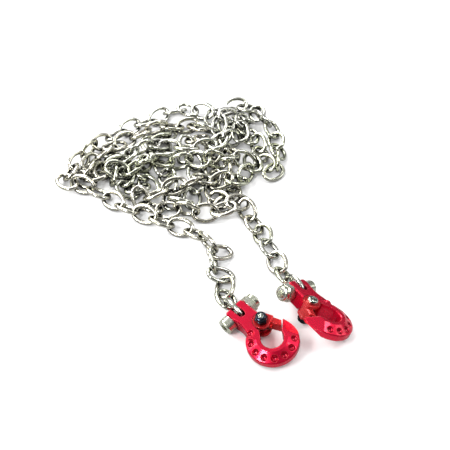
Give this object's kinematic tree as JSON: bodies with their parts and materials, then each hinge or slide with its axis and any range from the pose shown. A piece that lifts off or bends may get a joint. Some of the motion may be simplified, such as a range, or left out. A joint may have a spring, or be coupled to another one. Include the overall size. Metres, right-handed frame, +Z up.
{
  "type": "safety chain hook",
  "caption": "Loose open-link safety chain with a sprung-latch clevis safety hook at each end, laid in a heap.",
  "frame": {"origin": "centre of the footprint, on the plane the heap rests on", "axes": "+Z up from the resting plane, +Y away from the hooks towards the far loops of the heap, +X to the right of the heap as seen from the hook side"},
  "size_m": [0.1074, 0.1384, 0.0106],
  "materials": {
    "hook_red": "satin anodised",
    "latch_red": "satin anodised",
    "chain_nickel": "bright nickel plate over steel",
    "bolt_steel": "zinc plate",
    "black_steel": "black oxide",
    "spring_steel": "bright wire",
    "nylon": "matte",
    "nylon_dark": "matte"
  },
  "bodies": {
    "chain_heap": {"chain_run_01": "chain_nickel", "chain_run_02": "chain_nickel", "chain_run_03": "chain_nickel", "chain_run_04": "chain_nickel", "chain_run_05": "chain_nickel", "chain_run_06": "chain_nickel", "chain_run_07": "chain_nickel", "chain_run_08": "chain_nickel", "chain_run_09": "chain_nickel", "chain_run_10": "chain_nickel"},
    "link_a6": {"link_a6": "chain_nickel"},
    "link_a5": {"link_a5": "chain_nickel"},
    "link_a4": {"link_a4": "chain_nickel"},
    "link_a3": {"link_a3": "chain_nickel"},
    "link_a2": {"link_a2": "chain_nickel"},
    "link_a1": {"link_a1": "chain_nickel"},
    "hook_a": {"hook_body_a": "hook_red", "clevis_bolt_a": "bolt_steel", "clevis_nut_a": "bolt_steel", "clevis_nut_insert_a": "nylon", "latch_screw_a": "bolt_steel", "latch_nut_a": "black_steel", "latch_nut_insert_a": "nylon_dark", "latch_spring_a": "spring_steel"},
    "latch_a": {"latch_a": "latch_red"},
    "link_b6": {"link_b6": "chain_nickel"},
    "link_b5": {"link_b5": "chain_nickel"},
    "link_b4": {"link_b4": "chain_nickel"},
    "link_b3": {"link_b3": "chain_nickel"},
    "link_b2": {"link_b2": "chain_nickel"},
    "link_b1": {"link_b1": "chain_nickel"},
    "hook_b": {"hook_body_b": "hook_red", "clevis_bolt_b": "bolt_steel", "clevis_nut_b": "bolt_steel", "clevis_nut_insert_b": "nylon", "latch_screw_b": "bolt_steel", "latch_nut_b": "black_steel", "latch_nut_insert_b": "nylon_dark", "latch_spring_b": "spring_steel"},
    "latch_b": {"latch_b": "latch_red"}
  },
  "joints": [
    {"name": "swing_link_a6", "type": "hinge", "parent": "chain_heap", "child": "link_a6", "pos_m": [0.00812, -0.01789, 0.00218], "axis": [0.7575, 0.6443, 0.1051], "range_deg": [-16, 18]},
    {"name": "swing_link_a5", "type": "hinge", "parent": "link_a6", "child": "link_a5", "pos_m": [0.00675, -0.02056, 0.00404], "axis": [-0.4751, 0.8768, 0.0743], "range_deg": [-6, 15]},
    {"name": "swing_link_a4", "type": "hinge", "parent": "link_a5", "child": "link_a4", "pos_m": [0.00743, -0.02899, 0.00368], "axis": [0.7246, 0.6347, -0.2683], "range_deg": [-16, 18]},
    {"name": "swing_link_a3", "type": "hinge", "parent": "link_a4", "child": "link_a3", "pos_m": [0.01354, -0.03233, 0.00203], "axis": [0.9119, -0.0178, 0.4101], "range_deg": [-8, 18]},
    {"name": "swing_link_a2", "type": "hinge", "parent": "link_a3", "child": "link_a2", "pos_m": [0.014, -0.03906, 0.00221], "axis": [0.9119, -0.0178, 0.4101], "range_deg": [-6, 18]},
    {"name": "swing_link_a1", "type": "hinge", "parent": "link_a2", "child": "link_a1", "pos_m": [0.01372, -0.04592, 0.00309], "axis": [0.7845, 0.6202, 0], "range_deg": [-15, 18]},
    {"name": "swivel_hook_a", "type": "hinge", "parent": "link_a1", "child": "hook_a", "pos_m": [0.01631, -0.04938, 0.00395], "axis": [-0.6986, -0.6879, -0.1967], "range_deg": [-10, 40]},
    {"name": "latch_pivot_a", "type": "hinge", "parent": "hook_a", "child": "latch_a", "pos_m": [0.02402, -0.05386, 0.00438], "axis": [0.1365, 0.1417, -0.9804], "range_deg": [0, 55], "stiffness_Nm_per_rad": 0.004, "springref_deg": -20.05, "deforming": ["latch_spring_a"]},
    {"name": "swing_link_b6", "type": "hinge", "parent": "chain_heap", "child": "link_b6", "pos_m": [0.02102, -0.00117, 0.00196], "axis": [0.8744, 0.28, -0.3963], "range_deg": [-13, 18]},
    {"name": "swing_link_b5", "type": "hinge", "parent": "link_b6", "child": "link_b5", "pos_m": [0.02415, -0.00803, 0.00211], "axis": [0.134, -0.9869, 0.0898], "range_deg": [-3, 18]},
    {"name": "swing_link_b4", "type": "hinge", "parent": "link_b5", "child": "link_b4", "pos_m": [0.0264, -0.01416, 0.00212], "axis": [0.9422, 0.3351, 0], "range_deg": [-9, 18]},
    {"name": "swing_link_b3", "type": "hinge", "parent": "link_b4", "child": "link_b3", "pos_m": [0.02759, -0.02172, 0.00202], "axis": [-0.8463, -0.3011, 0.4394], "range_deg": [-12, 18]},
    {"name": "swing_link_b2", "type": "hinge", "parent": "link_b3", "child": "link_b2", "pos_m": [0.0316, -0.02873, 0.00204], "axis": [0.8659, 0.2624, 0.4258], "range_deg": [-17, 18]},
    {"name": "swing_link_b1", "type": "hinge", "parent": "link_b2", "child": "link_b1", "pos_m": [0.03268, -0.03406, 0.00393], "axis": [0.2436, 0.3391, 0.9087], "range_deg": [-12, 18]},
    {"name": "swivel_hook_b", "type": "hinge", "parent": "link_b1", "child": "hook_b", "pos_m": [0.03622, -0.03985, 0.0051], "axis": [-0.7397, -0.5362, 0.4067], "range_deg": [-10, 40]},
    {"name": "latch_pivot_b", "type": "hinge", "parent": "hook_b", "child": "latch_b", "pos_m": [0.03942, -0.04814, 0.00589], "axis": [0.3429, 0.2197, 0.9133], "range_deg": [0, 55], "stiffness_Nm_per_rad": 0.004, "springref_deg": -20.05, "deforming": ["latch_spring_b"]}
  ]
}
